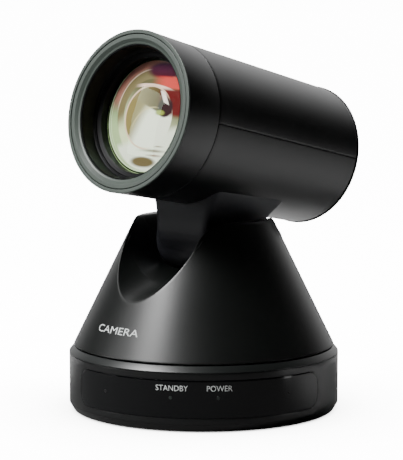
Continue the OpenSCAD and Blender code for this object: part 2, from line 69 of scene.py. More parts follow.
# Row-frame metres of points given as (across, up, along) about the tilt axis
def onTilt(p):
    return (pivot + p[..., :1] * across + p[..., 1:2] * headUp + p[..., 2:3] * lensWay) * mm


# Row-frame metres of points given as (across, ahead, height) about the pan axis
def onCone(p):
    up = np.array([0.0, 0.0, 1.0])
    return (p[..., :1] * across + p[..., 1:2] * ahead + p[..., 2:3] * up) * mm


# Row-frame metres of points given as (x, y, height)
def onBase(p):
    return p * mm


# ---- Curves ----

# Outline with each corner replaced by an arc: the arc leaves and meets the two sides
# at radius times the tangent of half the turn, and bulges towards the corner
def rounded(points, radii, steps=5):
    points = [np.array(p, float) for p in points]
    out = []
    for i, (p, r) in enumerate(zip(points, radii)):
        a = points[i - 1] - p
        b = points[(i + 1) % len(points)] - p
        la, lb = np.linalg.norm(a), np.linalg.norm(b)
        turn = math.acos(max(-1.0, min(1.0, float(a @ b) / (la * lb))))
        if r <= 0 or turn > 3.1:
            out.append(p[None])
            continue
        back = min(r / math.tan(turn / 2), 0.45 * la, 0.45 * lb)
        t = np.linspace(0, 1, steps)[:, None]
        start, end = p + a / la * back, p + b / lb * back
        out.append((1 - t) ** 2 * start + 2 * t * (1 - t) * p + t ** 2 * end)
    return np.concatenate(out)


# Profile of (radius, along) turned about the axis: (r sin a, r cos a, along)
def turned(profile, count=160, start=0.0, sweep=360.0):
    full = abs(sweep) >= 360
    a = np.radians(start + np.linspace(0, sweep, count + (0 if full else 1), endpoint=not full))
    r, s = profile[:, 0][None, :], profile[:, 1][None, :]
    return np.stack([r * np.sin(a)[:, None], r * np.cos(a)[:, None], s + 0 * a[:, None]], -1)


# ---- Meshes ----

# Quads of a grid of rows and columns, closed where asked, without those that keep leaves out
def gridFaces(rows, cols, closeRows, closeCols, keep=None, first=0):
    i, j = np.meshgrid(np.arange(rows - (not closeRows)), np.arange(cols - (not closeCols)), indexing="ij")
    if keep is not None:
        i, j = i[keep], j[keep]
    i, j = i.ravel(), j.ravel()
    i1, j1 = (i + 1) % rows, (j + 1) % cols
    return np.stack([i * cols + j, i1 * cols + j, i1 * cols + j1, i * cols + j1], -1) + first


# One object from grids of row-frame points; the doubles at seams and poles are merged
def makePiece(name, grids, body, look, inside=None, thick=0.0, bevel=0.0, sharp=40, replaces=()):
    verts, faces, first = [], [], 0
    for g in grids:
        p = g["points"]
        faces.append(gridFaces(p.shape[0], p.shape[1], g.get("closeRows", False),
                               g.get("closeCols", False), g.get("keep"), first))
        verts.append(p.reshape(-1, 3))
        first += p.shape[0] * p.shape[1]
    mesh = bpy.data.meshes.new(name)
    mesh.from_pydata(np.concatenate(verts), [], np.concatenate(faces))
    bm = bmesh.new()
    bm.from_mesh(mesh)
    bmesh.ops.remove_doubles(bm, verts=bm.verts, dist=2e-6)
    bmesh.ops.dissolve_degenerate(bm, dist=1e-7, edges=bm.edges)
    bmesh.ops.recalc_face_normals(bm, faces=bm.faces)
    if inside is not None:
        core = Vector(np.array(inside) * mm)
        if sum(f.normal.dot(f.calc_center_median() - core) * f.calc_area() for f in bm.faces) < 0:
            bmesh.ops.reverse_faces(bm, faces=bm.faces)
    loose = [v for v in bm.verts if not v.link_faces]
    bmesh.ops.delete(bm, geom=loose, context="VERTS")
    bm.to_mesh(mesh)
    bm.free()
    piece = bpy.data.objects.new(name, mesh)
    bpy.context.scene.collection.objects.link(piece)
    mesh.shade_smooth()
    if thick:
        wall = piece.modifiers.new("wall", "SOLIDIFY")
        wall.thickness = thick * mm
        wall.offset = -1
        wall.use_rim = True
    if bevel:
        edge = piece.modifiers.new("edge", "BEVEL")
        edge.width = bevel * mm
        edge.segments = 2
        edge.limit_method = "ANGLE"
        edge.angle_limit = math.radians(50)
        edge.harden_normals = False
    if sharp:
        mesh.set_sharp_from_angle(angle=math.radians(sharp))
    finishPiece(piece, body, look, replaces)
    return piece


def finishPiece(piece, body, look, replaces=()):
    piece.data.materials.clear()
    piece.data.materials.append(look)
    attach(piece, body)
    if replaces:
        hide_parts(*replaces)


# ---- Shader wiring ----

class Wire:  # one output; arithmetic on it adds Math nodes to the same look
    def __init__(self, look, socket):
        self.look, self.socket = look, socket

    def math(self, operation, *others):
        return self.look.math(operation, self, *others)

    def __add__(self, other): return self.math("ADD", other)
    def __radd__(self, other): return self.math("ADD", other)
    def __sub__(self, other): return self.math("SUBTRACT", other)
    def __rsub__(self, other): return self.look.math("SUBTRACT", other, self)
    def __mul__(self, other): return self.math("MULTIPLY", other)
    def __rmul__(self, other): return self.math("MULTIPLY", other)
    def __truediv__(self, other): return self.math("DIVIDE", other)
    def __rtruediv__(self, other): return self.look.math("DIVIDE", other, self)
    def __neg__(self): return self.math("MULTIPLY", -1.0)
    def __abs__(self): return self.math("ABSOLUTE")


class Look:  # one material; place is Object coordinates in millimetres
    def __init__(self, name):
        self.material = bpy.data.materials.new(name)
        self.material.use_nodes = True
        self.tree = self.material.node_tree
        self.tree.nodes.clear()
        self.end = self.tree.nodes.new("ShaderNodeOutputMaterial")
        self.place = self.node("ShaderNodeVectorMath", {"operation": "SCALE"}, {
            0: self.node("ShaderNodeTexCoord").outputs["Object"], "Scale": 1000.0}).outputs[0]

    def node(self, kind, settings=None, inputs=None):
        made = self.tree.nodes.new(kind)
        for key, value in (settings or {}).items():
            setattr(made, key, value)
        for key, value in (inputs or {}).items():
            self.plug(made.inputs[key], value)
        return made

    def plug(self, socket, value):
        if isinstance(value, Wire):
            value = value.socket
        if isinstance(value, bpy.types.NodeSocket):
            self.tree.links.new(value, socket)
        else:
            socket.default_value = value

    def math(self, operation, *values):
        made = self.node("ShaderNodeMath", {"operation": operation}, dict(enumerate(values)))
        return Wire(self, made.outputs[0])

    # Smooth step from 0 below low to 1 above high
    def step(self, value, low, high):
        made = self.node("ShaderNodeMapRange", {"interpolation_type": "SMOOTHSTEP"},
                         {"Value": value, "From Min": low, "From Max": high})
        return Wire(self, made.outputs[0])

    def noise(self, scale, detail=2.0, rough=0.5):
        made = self.node("ShaderNodeTexNoise", {}, {
            "Vector": self.place, "Scale": scale, "Detail": detail, "Roughness": rough})
        return Wire(self, made.outputs["Fac"])

    # Signed distance in millimetres from a point along a direction
    def along(self, direction, point):
        moved = self.node("ShaderNodeVectorMath", {"operation": "SUBTRACT"}, {
            0: self.place, 1: tuple(float(v) for v in point)}).outputs[0]
        made = self.node("ShaderNodeVectorMath", {"operation": "DOT_PRODUCT"}, {
            0: moved, 1: tuple(float(v) for v in direction)})
        return Wire(self, made.outputs["Value"])

    def blend(self, amount, low, high):
        made = self.node("ShaderNodeMix", {"data_type": "RGBA"}, {0: amount, 6: low, 7: high})
        return made.outputs[2]

    def bump(self, height, distance, strength=1.0):
        made = self.node("ShaderNodeBump", {}, {
            "Strength": strength, "Distance": distance, "Height": height})
        return made.outputs[0]

    def finish(self, inputs):
        shader = self.node("ShaderNodeBsdfPrincipled", {}, inputs)
        self.tree.links.new(shader.outputs[0], self.end.inputs["Surface"])
        return self.material


# Linear colour of a display colour given from 0 to 255
def tone(red, green, blue):
    def lin(v):
        v = v / 255
        return v / 12.92 if v <= 0.04045 else ((v + 0.055) / 1.055) ** 2.4
    return (lin(red), lin(green), lin(blue), 1.0)


# Moulded plastic: colour = two near shades mixed by slow noise; roughness = base plus slow noise;
# height = fine noise of the tool's spark texture
def mouldedPlastic(name, dark, light, rough, grain=4.0, height=0.004, coat=0.0, level=0.5):
    look = Look(name)
    slow = look.noise(0.05, 3.0)
    fine = look.noise(grain, 2.0, 0.6)
    return look.finish({
        "Base Color": look.blend(slow, dark, light),
        "Roughness": rough + 0.07 * (slow - 0.5) + 0.05 * (fine - 0.5),
        "Normal": look.bump(fine, height * mm, 0.6),
        "Specular IOR Level": level,
        "Coat Weight": coat,
        "Coat Roughness": 0.12,
    })


# Metal: colour times slow noise; roughness = base plus streak noise; height = fine noise
def plainMetal(name, colour, rough, streak=1.5, height=0.004):
    look = Look(name)
    slow = look.noise(0.2, 3.0)
    fine = look.noise(streak, 3.0, 0.7)
    dark = tuple(0.8 * c for c in colour[:3]) + (1.0,)
    return look.finish({
        "Base Color": look.blend(slow, dark, colour),
        "Metallic": 1.0,
        "Roughness": rough + 0.15 * (fine - 0.5),
        "Normal": look.bump(fine, height * mm, 0.5),
    })


# Rubber: near-black with dusty patches where slow noise is high; height = grainy noise
def softRubber(name, colour, dusty):
    look = Look(name)
    dust = look.step(look.noise(0.35, 4.0), 0.5, 0.8)
    fine = look.noise(2.5, 4.0, 0.7)
    return look.finish({
        "Base Color": look.blend(dust, colour, dusty),
        "Roughness": 0.75 + 0.2 * (fine - 0.5),
        "Normal": look.bump(fine, 0.03 * mm, 0.7),
    })


# Circuit board: solder mask with copper tracks along the mortar lines of a brick pattern; height = the same
# pattern
def circuitBoard(name, mask, track):
    look = Look(name)
    wave = look.node("ShaderNodeTexBrick", {}, {
        "Vector": look.place, "Scale": 0.25, "Mortar Size": 0.04, "Color1": (0, 0, 0, 1),
        "Color2": (0.1, 0.1, 0.1, 1), "Mortar": (1, 1, 1, 1)})
    lines = Wire(look, wave.outputs["Fac"])
    return look.finish({
        "Base Color": look.blend(lines, mask, track),
        "Roughness": 0.42 - 0.1 * lines,
        "Normal": look.bump(lines, 0.02 * mm, 0.5),
    })


# Coated glass: a clear part and a glossy part mixed by Fresnel on the outside; the gloss
# is the coating's tint, varied by slow noise
def coatedGlass(name, clear, tint, ior):
    look = Look(name)
    film = look.noise(0.03, 2.0)
    glass = look.node("ShaderNodeBsdfTransparent", {}, {"Color": clear})
    warm = tuple(min(1.0, c * 1.15) for c in tint[:3]) + (1.0,)
    gloss = look.node("ShaderNodeBsdfGlossy", {}, {
        "Color": look.blend(film, tint, warm), "Roughness": 0.02})
    edge = Wire(look, look.node("ShaderNodeFresnel", {}, {"IOR": ior}).outputs[0])
    back = Wire(look, look.node("ShaderNodeNewGeometry").outputs["Backfacing"])
    mixed = look.node("ShaderNodeMixShader", {}, {
        0: edge * (1.0 - back), 1: glass.outputs[0], 2: gloss.outputs[0]})
    look.tree.links.new(mixed.outputs[0], look.end.inputs["Surface"])
    return look.material


# Inner lenses: painted reflections: the studio's reflections in the coatings, tinted in the coatings' colours, are
# painted on the glass as rings and patches about the lens axis.
# x is across and y is up from the axis in millimetres, and each patch is a smooth step of a
# distance: a disc of the distance to its centre, a band of the distance to a line or circle
def paintedLensReflections(name):
    look = Look(name)
    foot = pivot + headSize["rise"] * headUp
    x, y = look.along(across, foot), look.along(headUp, foot)

    def far(cx, cy, wide=1.0):
        dx, dy = (x - cx) / wide, y - cy
        return (dx * dx + dy * dy).math("SQRT")

    def disc(cx, cy, r, soft, wide=1.0):
        return 1.0 - look.step(far(cx, cy, wide), r - soft, r + soft)

    def ring(cx, cy, r, half, soft):
        return 1.0 - look.step(abs(far(cx, cy) - r), half, half + soft)

    def side(nx, ny, d, soft):
        return look.step(nx * x + ny * y - d, -soft, soft)

    # painted reflection: the green coating's sheen, lighter towards the lower right, and a pale green glare at the
    # lower left
    c = look.blend(look.step(x - y, -14.0, 30.0), tone(40, 52, 30), tone(128, 146, 100))
    c = look.blend(side(-0.5, -0.87, 8.0, 7.0) * 0.85, c, tone(186, 206, 156))
    c = look.blend(ring(0, 0, 24.3, 0.25, 0.3), c, tone(30, 38, 24))
    # painted highlights: two bright thin arcs at the left
    c = look.blend(ring(0, 0, 23.6, 0.12, 0.3) * side(-1, -0.3, 2.0, 6.0), c, tone(214, 226, 196))
    c = look.blend(ring(0, 0, 22.4, 0.12, 0.3) * side(-1, -0.2, 4.0, 5.0), c, tone(196, 212, 172))
    # painted reflection on the second element: pale cream below, darker above
    second = disc(3.2, 1.2, 21.4, 0.4)
    cream = look.blend(look.step(y + 0.3 * x, -14.0, 12.0), tone(222, 228, 186), tone(92, 86, 60))
    c = look.blend(second, c, cream)
    # painted reflections: pink and brown arcs in the upper part
    c = look.blend(ring(0.5, 1.0, 21.6, 1.4, 0.5) * side(-0.25, 1.0, 9.0, 4.0), c, tone(182, 122, 112))
    c = look.blend(ring(0.5, 1.0, 19.4, 0.2, 0.35) * side(-0.3, 1.0, 8.0, 3.0), c, tone(226, 190, 176))
    c = look.blend(ring(0.5, 1.0, 17.2, 1.6, 0.7) * side(-0.6, 0.8, 7.0, 4.0), c, tone(120, 106, 76))
    # painted reflections: a plum spot, a red band, a pale pink arc and a dark red patch
    plum = disc(5.6, 20.0, 3.7, 1.0, 2.6)
    c = look.blend(plum, c, look.blend(look.step(y, 17.0, 22.5), tone(70, 4, 30), tone(84, 14, 66)))
    c = look.blend(side(0.06, 1.0, 13.0, 0.6) * side(-0.02, -1.0, -17.6, 0.6)
                   * side(1, 0, 3.0, 5.0), c, tone(206, 66, 62))
    c = look.blend(ring(-2.0, -30.0, 43.4, 0.5, 0.4) * side(1, 0, -8.0, 3.0), c, tone(246, 206, 196))
    c = look.blend(disc(3.0, 0.0, 18.0, 0.5) * side(1, 0.1, 6.0, 1.6) * side(0.05, 1.0, 1.2, 1.4)
                   * side(0, -1.0, -12.0, 0.8), c, tone(96, 12, 16))
    # painted reflection: a large white patch, a softbox reflected low in the lens
    c = look.blend(side(0.3, -1.0, 9.0, 2.0) * disc(2.0, -1.0, 22.4, 0.6), c, tone(248, 248, 236))
    # painted reflections: a brown wedge and three short streaks near the bottom
    c = look.blend(disc(0.0, -19.6, 2.2, 0.6, 3.2) * side(1, -0.3, -2.6, 2.0), c, tone(104, 88, 58))
    c = look.blend(disc(5.0, -14.6, 0.5, 0.5, 11.0), c, tone(120, 108, 84))
    c = look.blend(disc(6.0, -16.6, 0.4, 0.4, 9.0), c, tone(150, 122, 100))
    c = look.blend(disc(8.0, -12.6, 0.25, 0.3, 8.0), c, tone(150, 136, 110))
    # painted reflection: the innermost element's glare, cream above and near-white towards the bottom
    inner = disc(-0.1, -0.4, 13.6, 0.25)
    low = side(0.2, -1.0, -3.0, 3.0)
    c = look.blend(inner, c, look.blend(low, tone(226, 220, 190), tone(253, 251, 240)))
    # painted reflections and painted shade in the innermost element: an olive wedge, a darker brown shade patch
    # and a dark red patch
    c = look.blend(inner * side(-1, 0.45, 3.4, 4.0), c, tone(136, 118, 72))
    shade = inner * side(0.34, 0.94, 3.6, 0.5) * side(-1, -0.1, -6.8, 1.2)
    c = look.blend(shade, c, look.blend(look.step(x, -10.0, 5.0), tone(140, 124, 88), tone(92, 74, 44)))
    c = look.blend(inner * side(1, 0.1, 5.6, 1.4) * side(0.05, 1.0, 1.6, 1.4), c, tone(84, 14, 16))
    # painted reflection: a dark purple spot
    c = look.blend(disc(8.9, 4.2, 4.2, 0.5), c, tone(46, 16, 26))
    # painted reflection: a white quad, a window reflected in the glass
    c = look.blend(side(0.86, 0.5, 9.8, 0.3) * side(-0.86, -0.5, -12.0, 0.3)
                   * side(0.3, 1.0, 8.6, 0.3) * side(0, -1.0, -11.2, 0.4), c, tone(250, 232, 232))
    # painted highlight: a small green glint
    c = look.blend(disc(6.3, 1.8, 1.1, 0.5, 2.2), c, tone(150, 160, 70))
    # painted highlights: a pinkish arc and a cream arc
    c = look.blend(ring(-0.1, -0.4, 13.5, 0.25, 0.25) * side(-1, 0.3, -6.0, 4.0), c, tone(232, 196, 176))
    c = look.blend(ring(3.0, -8.0, 12.0, 0.1, 0.25) * inner
                   * side(-0.6, 0.8, 1.0, 2.0), c, tone(216, 196, 150))
    haze = look.noise(0.08, 3.0)
    return look.finish({
        "Base Color": c,
        "Roughness": 0.3 + 0.1 * haze,
        "Specular IOR Level": 0.15,
    })


looks = {
    "base_black": mouldedPlastic("baseBlack", tone(11, 12, 12), tone(14, 15, 15), 0.34),
    "cone_black": mouldedPlastic("coneBlack", tone(13, 15, 14), tone(16, 18, 17), 0.36),
    "head_black": mouldedPlastic("headBlack", tone(12, 13, 14), tone(15, 16, 17), 0.33),
    "neck_grey": mouldedPlastic("neckGrey", tone(40, 41, 46), tone(46, 47, 52), 0.46, 4.0, 0.004, 0.0, 0.3),
    "cover_grey": mouldedPlastic("coverBlack", tone(19, 22, 21), tone(24, 27, 26), 0.36),
    "window_gloss": mouldedPlastic("windowGloss", tone(6, 7, 8), tone(8, 9, 10), 0.11, 6.0, 0.0006, 0.0, 0.35),
    "rubber": softRubber("footRubber", tone(24, 24, 24), tone(52, 50, 47)),
    "brass": plainMetal("insertBrass", tone(196, 160, 90), 0.32),
    "screw_steel": plainMetal("screwSteel", tone(150, 150, 148), 0.34),
    "lamp": mouldedPlastic("lampLens", tone(36, 42, 40), tone(40, 46, 44), 0.3),
    "board": circuitBoard("boardGreen", tone(16, 74, 42), tone(30, 104, 60)),
    "socket_black": mouldedPlastic("socketBlack", tone(14, 14, 15), tone(19, 19, 20), 0.5),
    "socket_metal": plainMetal("socketMetal", tone(186, 188, 190), 0.26),
    "aluminium": plainMetal("castAluminium", tone(176, 178, 180), 0.44, 2.5, 0.02),
    "gear_nylon": mouldedPlastic("gearNylon", tone(220, 216, 204), tone(232, 229, 220), 0.45),
    "bearing_steel": plainMetal("bearingSteel", tone(190, 192, 196), 0.2),
    "plate_steel": plainMetal("plateSteel", tone(160, 162, 164), 0.38),
    "motor_can": plainMetal("motorCan", tone(130, 132, 136), 0.36),
    "belt_rubber": softRubber("beltRubber", tone(22, 22, 23), tone(38, 38, 38)),
    "ring_grey": mouldedPlastic("ringGrey", tone(62, 70, 65), tone(72, 80, 74), 0.4, 4.0, 0.004, 0.0, 0.4),
    "hood_black": mouldedPlastic("hoodBlack", tone(6, 6, 8), tone(8, 8, 10), 0.42, 4.0, 0.004, 0.0, 0.12),
    "front_glass": coatedGlass("frontGlass", (0.98, 1.0, 0.97, 1.0), (0.62, 0.9, 0.68, 1.0), 1.45),
    "inner_glass": coatedGlass("innerGlass", (0.92, 0.95, 1.0, 1.0), (0.8, 0.6, 0.9, 1.0), 1.5),
    "sensor": mouldedPlastic("sensorFace", tone(26, 30, 44), tone(34, 40, 58), 0.12, 8.0, 0.001, 0.8),
}
# painted reflections: the look of the inner lens
paintedReflectionLook = paintedLensReflections("lensPaintedReflections")
inkLook = mouldedPlastic("printInk", tone(206, 210, 208), tone(220, 224, 222), 0.5)
# painted shade: the mic holes are near-black discs that stand in for the shade inside the holes
micHoleShadeLook = mouldedPlastic("micHolePaintedShade", tone(5, 5, 6), tone(8, 8, 9), 0.6)
for entry in frame["record"]["subparts"]:
    part = frame["nodes"][entry["node"]]
    part.data.materials.clear()
    part.data.materials.append(looks[entry["material_slot"]])
print("looks ready", len(looks))

# ---- Base ----

wallLook = {"thick": 1.6, "edge": 0.25, "sideColumns": 60, "rearColumns": 50,
            "recessHalf": 35.2, "recessLow": 4.8, "recessHigh": 23.6}


# Heights of the window's lower and upper edge at a distance along the wall from the front:
# straight, then a quarter circle up to the end
def windowEdge(s, grow):
    r = windowSize["corner"] + grow
    reach = baseSize["radius"] * math.radians(windowSize["halfAngle"]) + grow
    past = np.clip(np.abs(s) - (reach - r), 0, r)
    rise = r - np.sqrt(np.maximum(r * r - past * past, 0))
    return windowSize["low"] - grow + rise, windowSize["high"] + grow - rise, reach


# Wall point at an azimuth from the front: (R sin a, -R cos a, z)
def onWall(azimuth, z, radius=baseSize["radius"]):
    return np.stack([radius * np.sin(azimuth), -radius * np.cos(azimuth), z], -1)


# Azimuths of the front half of the wall, closer together over the window's corners
def windowColumns(grow, count=26):
    r = windowSize["corner"] + grow
    reach = baseSize["radius"] * math.radians(windowSize["halfAngle"]) + grow
    corner = reach - r + r * np.sin(np.linspace(0, math.pi / 2, count))
    flat = np.linspace(0, reach - r, 90)[:-1]
    half = np.concatenate([flat, corner])
    return np.concatenate([-half[::-1], half[1:]]) / baseSize["radius"]


def makeWall():
    g = wallLook
    sides, rears = g["sideColumns"], g["rearColumns"]
    front = windowColumns(windowSize["gap"])
    end = front[-1]
    low, high, _ = windowEdge(front * baseSize["radius"], windowSize["gap"])
    recess = math.asin(g["recessHalf"] / baseSize["radius"])
    sideWay = np.linspace(end, math.pi - recess, sides)[1:]
    rearWay = np.linspace(math.pi - recess, math.pi + recess, rears)[1:]
    azimuth = np.concatenate([front, sideWay, rearWay, 2 * math.pi - sideWay[::-1][1:]])
    zLow, zHigh = (np.concatenate([edge, np.full(sides - 2, edge[-1]), np.full(rears, recessEdge),
                                   np.full(sides - 2, edge[-1])])
                   for edge, recessEdge in ((low, g["recessLow"]), (high, g["recessHigh"])))
    v = np.linspace(0, 1, 4)[None, :]
    z0, z1 = baseSize["rimHeight"] + 0.05, baseSize["wallTop"] - 0.08
    zl, zh = zLow[:, None], zHigh[:, None]
    z = np.concatenate([z0 + (zl - z0) * v, zl + (zh - zl) * v[:, 1:3], zh + (z1 - zh) * v], 1)
    points = onBase(onWall(azimuth[:, None] + 0 * z, z))
    keep = np.ones((len(azimuth), z.shape[1] - 1), bool)
    keep[:len(front) - 1, 3:6] = False
    first = len(front) - 1 + len(sideWay)
    keep[first:first + len(rearWay), 3:6] = False
    return makePiece("baseWall", [{"points": points, "closeRows": True, "keep": keep}], "base",
                     looks["base_black"], inside=(0, 0, 14), thick=g["thick"],
                     bevel=g["edge"], replaces=("base_shell",))


def makeWindow():
    column = windowColumns(0.0)
    low, high, _ = windowEdge(column * baseSize["radius"], 0.0)
    v = np.linspace(0, 1, 16)[None, :]
    z = low[:, None] + (high - low)[:, None] * v
    points = onBase(onWall(column[:, None] + 0 * z, z))
    return makePiece("statusPanel", [{"points": points}], "base", looks["window_gloss"],
                     inside=(0, 0, 14), thick=1.6, bevel=0.18, replaces=("status_window",))


def makeCover():
    r, z0, z1 = baseSize["radius"], baseSize["wallTop"], baseSize["coverTop"]
    loop = rounded([(40, z0 + 0.05), (r - 0.02, z0 + 0.05), (r - 0.05, z0 + 0.35), (r - 2.1, z1),
                    (r - 3.4, z1), (r - 4.6, z1 - 1), (20, z1 - 1), (20, z0 + 0.05)],
                   [0, 0.1, 0.2, 0.5, 0.4, 0.3, 0, 0])
    grid = {"points": onBase(turned(loop, 220)), "closeRows": True, "closeCols": True}
    return makePiece("baseCover", [grid], "base", looks["cover_grey"], replaces=("base_cover",))


dotPlan = {"micAngle": 41, "micHeight": 14.9, "micRadius": 0.72, "proud": 0.02, "dimple": 0.01,
           "lightAngle": 9.8, "lightHeight": 15.0, "lightRadius": 0.75}


# Flat disc with a slight dimple, lying on the wall at an azimuth:
# a profile turned about the wall's outward normal
def makeDot(name, azimuth, z, radius, look):
    proud, dimple = dotPlan["proud"], dotPlan["dimple"]
    profile = rounded([(radius, -0.4), (radius, proud), (radius * 0.6, proud), (radius * 0.5, proud - dimple),
                       (0, proud - dimple)], [0, 0.05, 0.05, 0.05, 0], 4)
    p = turned(profile, 32)
    a = math.radians(azimuth)
    out = np.array([math.sin(a), -math.cos(a), 0.0])
    side = np.array([math.cos(a), math.sin(a), 0.0])
    centre = out * baseSize["radius"] + np.array([0, 0, z])
    points = (centre + p[..., :1] * side + p[..., 1:2] * np.array([0, 0, 1.0]) + p[..., 2:3] * out) * mm
    inner = centre - out
    return makePiece(name, [{"points": points, "closeRows": True}], "base", look, inside=inner)


makeWall()
makeWindow()
makeCover()
# mic holes: discs with painted shade in place of open holes
for label, side in (("Left", -1), ("Right", 1)):
    makeDot("mic" + label, side * dotPlan["micAngle"], dotPlan["micHeight"], dotPlan["micRadius"], micHoleShadeLook)
for label, side in (("Left", -1), ("Right", 1)):
    makeDot("light" + label, side * dotPlan["lightAngle"], dotPlan["lightHeight"], dotPlan["lightRadius"],
            looks["lamp"])
print("base ready")


# ---- Print ----

# Flat text as a mesh, its height set to size and its width to width, in millimetres about its centre
def flatText(name, words, width, height):
    curve = bpy.data.curves.new(name, "FONT")
    curve.body = words
    curve.resolution_u = 4
    holder = bpy.data.objects.new(name, curve)
    bpy.context.scene.collection.objects.link(holder)
    mesh = bpy.data.meshes.new_from_object(holder.evaluated_get(bpy.context.evaluated_depsgraph_get()))
    bpy.data.objects.remove(holder)
    co = np.zeros(len(mesh.vertices) * 3)
    mesh.vertices.foreach_get("co", co)
    co = co.reshape(-1, 3)
    low, high = co.min(0), co.max(0)
    flat = (co - (low + high) / 2) / np.maximum(high - low, 1e-9) * np.array([width, height, 0])
    return mesh, flat


def printOn(name, mesh, points, body):
    mesh.vertices.foreach_set("co", points.ravel())
    mesh.update()
    piece = bpy.data.objects.new(name, mesh)
    bpy.context.scene.collection.objects.link(piece)
    finishPiece(piece, body, inkLook)
    return piece


# The text laid on the wall: azimuth = centre + x / R, height = centre + y
def wallPrint(name, words, azimuth0, azimuth1, z0, z1):
    r = baseSize["radius"] + 0.03
    a0, a1 = math.radians(azimuth0), math.radians(azimuth1)
    mesh, flat = flatText(name, words, (a1 - a0) * r, z1 - z0)
    points = onBase(onWall((a0 + a1) / 2 + flat[:, 0] / r, (z0 + z1) / 2 + flat[:, 1], r))
    return printOn(name, mesh, points, "base")


# The text laid on the cone: height = centre + y, azimuth = centre + x / cone radius there
def conePrint(name, words, centre, width, z0, z1):
    mesh, flat = flatText(name, words, width, z1 - z0)
    z = (z0 + z1) / 2 + flat[:, 1]
    r = coneSize["radius"] - (z - coneSize["low"]) * coneSize["slope"] + 0.03
    a = (centre + flat[:, 0]) / r
    points = onCone(np.stack([r * np.sin(a), r * np.cos(a), z], -1))
    return printOn(name, mesh, points, "turntable")


wallPrint("printStandby", "STANDBY", -16.0, -2.6, 17.9, 20.3)
wallPrint("printPower", "POWER", 5.1, 15.5, 17.9, 20.3)
conePrint("printCone", "CAMERA", -3.0, 25.0, 38.3, 41.2)
print("print ready")


# ---- Cone ----

saddle = {"halfWidth": 20.7, "wallTop": 77.4, "flare": 3.6, "lowEdge": 51.9, "lowAhead": 45.4,
          "floor": 60.6, "floorAhead": 8.0, "openRadius": 14.75, "openHalf": 16.0,
          "lip": 1.3, "thick": 1.3, "edge": 0.12}


# Smaller of two heights, rounded where they are within k of each other
def softMin(a, b, k):
    h = np.maximum(k - np.abs(a - b), 0) / k
    return np.minimum(a, b) - h * h * k / 4


# Height of the saddle: along the lens direction the floor falls as a power of the distance;
# across, an ellipse from the floor up to the wall's top that grows boxier near the drum,
# and beyond it a convex flare up to the ear's flat top
def saddleHeight(side, forward):
    g = saddle
    f, s = np.abs(forward), np.abs(side)
    part = np.clip((f - g["floorAhead"]) / (g["lowAhead"] - g["floorAhead"]), 0, 2)
    floor = g["floor"] - (g["floor"] - g["lowEdge"]) * part ** 1.3
    boxy = 2.0 + 1.6 * np.clip(1 - f / 26, 0, 1)
    inner = np.clip(1 - (s / g["halfWidth"]) ** boxy, 0, 1) ** (1 / boxy)
    bowl = g["wallTop"] - (g["wallTop"] - floor) * inner
    q = np.clip(1 - (s - g["halfWidth"]) / g["flare"], 0, 1)
    rise = coneSize["top"] - g["wallTop"]
    flare = g["wallTop"] + rise * (1 - q ** 1.5) ** (1 / 1.5)
    return np.where(s < g["halfWidth"], bowl, flare)


# Half of the cone's skin on a polar grid. Along each azimuth the height is the soft minimum of the
# cone's slope and the saddle; the profile is resampled evenly in length plus turning,
# and it ends at the drum's opening
def coneHalf(facing, columns=150, rows=180):
    g, c = saddle, coneSize
    azimuth = np.radians(np.linspace(-90, 90, rows))
    r = np.concatenate([np.linspace(c["radius"], 30, 700), np.linspace(30, 3.5, 2600)[1:]])
    side = r[None, :] * np.sin(azimuth)[:, None]
    forward = r[None, :] * np.cos(azimuth)[:, None]
    slope = c["low"] + (c["radius"] - r[None, :]) / c["slope"] + 0 * side
    z = softMin(slope, saddleHeight(side, forward), g["lip"])
    opened = (np.abs(side) < g["openHalf"]) & (forward ** 2 + (z - pivot[2]) ** 2 < g["openRadius"] ** 2)
    last = np.where(opened.any(1), opened.argmax(1), len(r) - 1)
    profiles = []
    for i in range(rows):
        rr, zz = r[:last[i] + 1], z[i, :last[i] + 1]
        dr, dz = np.diff(rr), np.diff(zz)
        turn = np.abs(np.diff(np.unwrap(np.arctan2(dz, dr)), prepend=0.0))
        turn[0] = 0
        run = np.concatenate([[0], np.cumsum(np.hypot(dr, dz) + 5.0 * turn)])
        t = np.linspace(0, run[-1], columns)
        profiles.append(np.stack([np.interp(t, run, rr), np.interp(t, run, zz)], -1))
    p = np.array(profiles)
    return onCone(np.stack([p[..., 0] * np.sin(azimuth)[:, None],
                            facing * p[..., 0] * np.cos(azimuth)[:, None], p[..., 1]], -1))


makePiece("coneSkin", [{"points": coneHalf(1)}, {"points": coneHalf(-1)}], "turntable",
          looks["cone_black"], inside=(0, 0, 40), thick=saddle["thick"], bevel=saddle["edge"],
          replaces=("cone_front", "cone_rear"), sharp=0)
print("cone ready")


# ---- Neck ----

neckShape = {
    "height": [-9.0, -6.0, -3.0, 0.0, 3.0, 6.0, 9.0, 12.0, 15.0, 17.5, 20.0, 23.0],
    "front": [10.6, 13.2, 15.0, 15.8, 16.1, 16.4, 16.9, 17.4, 18.0, 18.4, 18.6, 18.7],
    "rear": [-10.4, -12.6, -13.8, -14.8, -16.2, -18.0, -19.6, -21.2, -22.8, -24.6, -26.4, -27.8],
    "half": [12.6, 13.4, 14.3, 15.0, 15.35, 15.7, 16.3, 17.0, 18.2, 19.3, 20.4, 20.9],
    "drumRadius": 14.2, "drumHalf": 15.5, "boxiness": 14.0,
}


